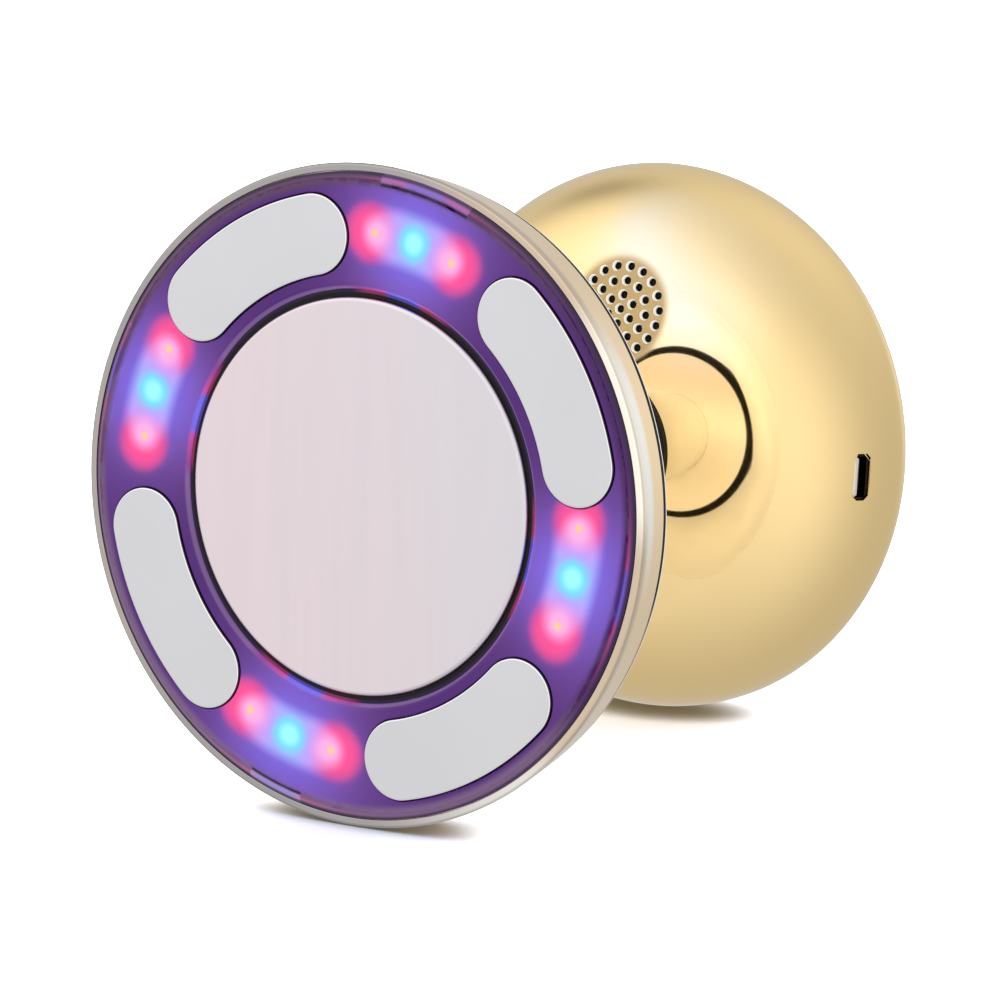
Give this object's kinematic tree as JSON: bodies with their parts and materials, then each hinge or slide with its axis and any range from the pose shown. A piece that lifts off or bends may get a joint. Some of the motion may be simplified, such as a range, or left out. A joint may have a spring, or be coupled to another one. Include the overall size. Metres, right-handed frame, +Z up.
{
  "type": "ultrasonic cavitation machine",
  "caption": "Hand-held ultrasonic body massager: round light-up treatment head with steel plate and electrodes, short neck and domed gold palm grip with press buttons.",
  "frame": {"origin": "on the surface it lies on, under the middle of its bounding box", "axes": "+Z up, +Y from the treatment face towards the grip, +X to the right as seen from in front of the treatment face"},
  "size_m": [0.092, 0.0983, 0.0918],
  "materials": {
    "plate_steel": "satin, slightly pink stainless steel",
    "electrode_steel": "soft polished stainless steel",
    "panel_tint": "glossy violet light panel, translucent",
    "gold_trim": "mirror-like gold plating",
    "champagne_trim": "mirror-like pale champagne gold plating",
    "pearl_shell": "glossy pearl white",
    "black_seal": "matt black",
    "white_plastic": "white",
    "red_light": "clear lens, lit red",
    "blue_light": "clear lens, lit blue",
    "contact_metal": "gold-plated spring contacts",
    "screw_metal": "zinc-plated",
    "mass_aluminium": "turned",
    "ceramic": "fired piezo ceramic, silvered faces",
    "mass_steel": "turned",
    "board_green": "solder mask",
    "board_white": "white solder mask",
    "wire_skin": "insulated wires",
    "port_metal": "nickel-plated",
    "black_plastic": "black",
    "cell_wrap": "blue film",
    "control_cream": "glossy cream",
    "status_clear": "clear light pipe"
  },
  "bodies": {
    "body": {"centre_plate": "plate_steel", "plate_gasket": "black_seal", "front_panel": "panel_tint", "rim_ring": "champagne_trim", "electrode_1": "electrode_steel", "electrode_2": "electrode_steel", "electrode_3": "electrode_steel", "electrode_4": "electrode_steel", "reflector_ring": "white_plastic", "led_board": "board_white", "red_leds": "red_light", "blue_leds": "blue_light", "electrode_contacts": "contact_metal", "head_screws": "screw_metal", "head_back_shell": "pearl_shell", "boss_ring": "black_seal", "boss_cap": "champagne_trim", "front_mass": "mass_aluminium", "ceramic_rings": "ceramic", "contact_shim": "contact_metal", "back_mass": "mass_steel", "clamp_bolt": "screw_metal", "neck_tube": "gold_trim", "neck_screws": "screw_metal", "neck_seal": "black_seal", "neck_nut": "contact_metal", "wire_harness": "wire_skin", "grip_front_shell": "gold_trim", "grip_back_shell": "gold_trim", "speaker": "black_plastic", "charging_socket": "port_metal", "socket_tongue": "black_plastic", "battery": "cell_wrap", "battery_tray": "black_plastic", "main_board": "board_green", "board_screws": "screw_metal", "key_switches": "black_plastic", "control_panel": "control_cream", "status_light": "status_clear"},
    "power_button": {"power_button": "gold_trim"},
    "mode_button": {"mode_button": "gold_trim"},
    "plus_button": {"plus_button": "gold_trim"},
    "minus_button": {"minus_button": "gold_trim"}
  },
  "joints": [
    {"name": "power_button_press", "type": "slide", "parent": "body", "child": "power_button", "axis": [0, -0.9976, 0.0698], "range_m": [0, 0.0004], "stiffness_N_per_m": 400, "springref_m": -0.001},
    {"name": "mode_button_press", "type": "slide", "parent": "body", "child": "mode_button", "axis": [0, -0.9976, 0.0698], "range_m": [0, 0.0004], "stiffness_N_per_m": 400, "springref_m": -0.001},
    {"name": "plus_button_press", "type": "slide", "parent": "body", "child": "plus_button", "axis": [0, -0.9976, 0.0698], "range_m": [0, 0.0004], "stiffness_N_per_m": 400, "springref_m": -0.001},
    {"name": "minus_button_press", "type": "slide", "parent": "body", "child": "minus_button", "axis": [0, -0.9976, 0.0698], "range_m": [0, 0.0004], "stiffness_N_per_m": 400, "springref_m": -0.001}
  ]
}
